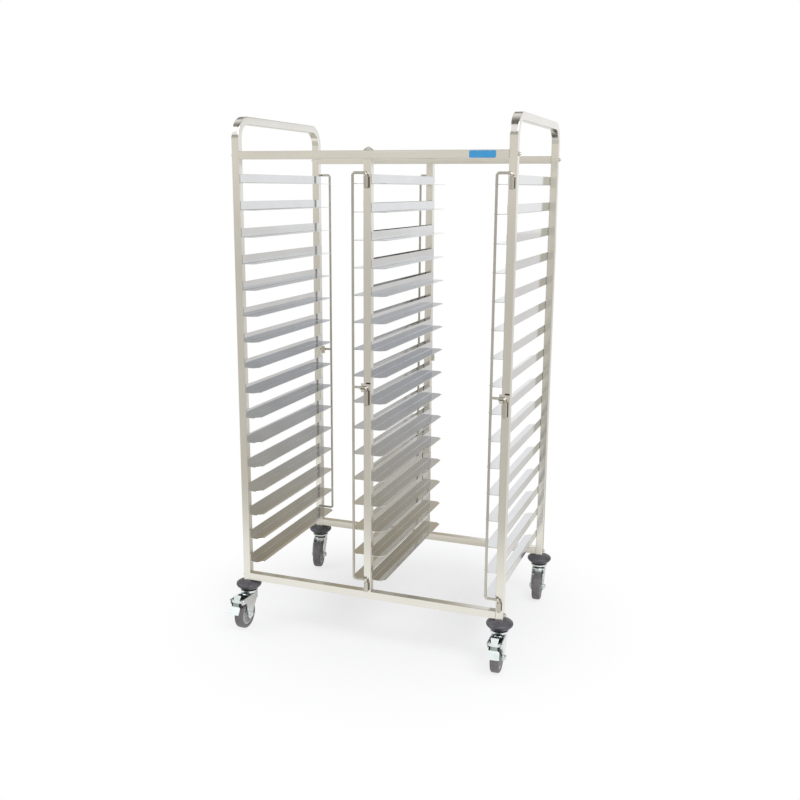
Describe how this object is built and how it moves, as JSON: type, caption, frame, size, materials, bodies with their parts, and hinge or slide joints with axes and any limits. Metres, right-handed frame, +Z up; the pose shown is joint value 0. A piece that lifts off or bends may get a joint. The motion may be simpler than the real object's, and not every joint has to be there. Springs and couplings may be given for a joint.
{
  "type": "bakery tray trolley",
  "caption": "Open stainless-steel trolley with two columns of folded runners for baking trays, swing-aside retaining rods, bumpers and braked swivel casters.",
  "frame": {"origin": "on the floor, midway between the four uprights", "axes": "+X along the trolley to the right as seen from its front, +Y to its rear, +Z up"},
  "size_m": [0.9816, 0.7572, 1.71],
  "materials": {
    "stainless_tube": "satin",
    "stainless_sheet": "satin",
    "stainless_wire": "polished",
    "zinc_plate": "zinc plated",
    "bumper_rubber": "matte",
    "tyre_rubber": "matte",
    "hub_plastic": "moulded"
  },
  "bodies": {
    "frame": {"left_side_frame": "stainless_tube", "right_side_frame": "stainless_tube", "front_bottom_rail": "stainless_tube", "front_top_rail": "stainless_tube", "rear_bottom_rail": "stainless_tube", "rear_top_rail": "stainless_tube", "front_mid_upright": "stainless_tube", "rear_mid_upright": "stainless_tube", "left_runners": "stainless_sheet", "mid_left_runners": "stainless_sheet", "mid_right_runners": "stainless_sheet", "right_runners": "stainless_sheet", "front_mid_rod_barrels": "stainless_wire", "front_right_rod_barrels": "stainless_wire", "rear_left_rod_barrels": "stainless_wire", "rear_mid_rod_barrels": "stainless_wire", "rod_keepers": "stainless_wire", "corner_bumpers": "bumper_rubber", "caster_heads": "zinc_plate", "stem_expanders": "bumper_rubber"},
    "front_mid_rod": {"front_mid_retaining_rod": "stainless_wire"},
    "front_right_rod": {"front_right_retaining_rod": "stainless_wire"},
    "rear_left_rod": {"rear_left_retaining_rod": "stainless_wire"},
    "rear_mid_rod": {"rear_mid_retaining_rod": "stainless_wire"},
    "front_left_swivel": {"front_left_fork": "zinc_plate", "front_left_axle": "zinc_plate", "front_left_brake_pin": "zinc_plate"},
    "front_left_wheel": {"front_left_tyre": "tyre_rubber", "front_left_hub": "hub_plastic"},
    "front_left_brake": {"front_left_brake_pedal": "zinc_plate"},
    "front_right_swivel": {"front_right_fork": "zinc_plate", "front_right_axle": "zinc_plate", "front_right_brake_pin": "zinc_plate"},
    "front_right_wheel": {"front_right_tyre": "tyre_rubber", "front_right_hub": "hub_plastic"},
    "front_right_brake": {"front_right_brake_pedal": "zinc_plate"},
    "rear_left_swivel": {"rear_left_fork": "zinc_plate", "rear_left_axle": "zinc_plate"},
    "rear_left_wheel": {"rear_left_tyre": "tyre_rubber", "rear_left_hub": "hub_plastic"},
    "rear_right_swivel": {"rear_right_fork": "zinc_plate", "rear_right_axle": "zinc_plate"},
    "rear_right_wheel": {"rear_right_tyre": "tyre_rubber", "rear_right_hub": "hub_plastic"}
  },
  "joints": [
    {"name": "front_mid_rod_swing", "type": "hinge", "parent": "frame", "child": "front_mid_rod", "pos_m": [0, -0.318, 0.878], "axis": [0, 0, 1], "range_deg": [0, 180]},
    {"name": "front_right_rod_swing", "type": "hinge", "parent": "frame", "child": "front_right_rod", "pos_m": [0.4475, -0.318, 0.878], "axis": [0, 0, 1], "range_deg": [0, 180]},
    {"name": "rear_left_rod_swing", "type": "hinge", "parent": "frame", "child": "rear_left_rod", "pos_m": [-0.4475, 0.318, 0.878], "axis": [0, 0, 1], "range_deg": [0, 180]},
    {"name": "rear_mid_rod_swing", "type": "hinge", "parent": "frame", "child": "rear_mid_rod", "pos_m": [0, 0.318, 0.878], "axis": [0, 0, 1], "range_deg": [-180, 0]},
    {"name": "front_left_caster_swivel", "type": "hinge", "parent": "frame", "child": "front_left_swivel", "pos_m": [-0.4475, -0.2975, 0.115], "axis": [0, 0, 1], "continuous": true},
    {"name": "front_left_wheel_spin", "type": "hinge", "parent": "front_left_swivel", "child": "front_left_wheel", "pos_m": [-0.4475, -0.3325, 0.05], "axis": [1, 0, 0], "continuous": true},
    {"name": "front_left_brake_press", "type": "hinge", "parent": "front_left_swivel", "child": "front_left_brake", "pos_m": [-0.4475, -0.3775, 0.111], "axis": [1, 0, 0], "range_deg": [0, 25]},
    {"name": "front_right_caster_swivel", "type": "hinge", "parent": "frame", "child": "front_right_swivel", "pos_m": [0.4475, -0.2975, 0.115], "axis": [0, 0, 1], "continuous": true},
    {"name": "front_right_wheel_spin", "type": "hinge", "parent": "front_right_swivel", "child": "front_right_wheel", "pos_m": [0.44994, -0.33241, 0.05], "axis": [0.9976, 0.0698, 0], "continuous": true},
    {"name": "front_right_brake_press", "type": "hinge", "parent": "front_right_swivel", "child": "front_right_brake", "pos_m": [0.45308, -0.37731, 0.111], "axis": [0.9976, 0.0698, 0], "range_deg": [0, 25]},
    {"name": "rear_left_caster_swivel", "type": "hinge", "parent": "frame", "child": "rear_left_swivel", "pos_m": [-0.4475, 0.2975, 0.115], "axis": [0, 0, 1], "continuous": true},
    {"name": "rear_left_wheel_spin", "type": "hinge", "parent": "rear_left_swivel", "child": "rear_left_wheel", "pos_m": [-0.44022, 0.26326, 0.05], "axis": [0.9781, 0.2079, 0], "continuous": true},
    {"name": "rear_right_caster_swivel", "type": "hinge", "parent": "frame", "child": "rear_right_swivel", "pos_m": [0.4475, 0.2975, 0.115], "axis": [0, 0, 1], "continuous": true},
    {"name": "rear_right_wheel_spin", "type": "hinge", "parent": "rear_right_swivel", "child": "rear_right_wheel", "pos_m": [0.45055, 0.26263, 0.05], "axis": [0.9962, 0.0872, 0], "continuous": true}
  ]
}
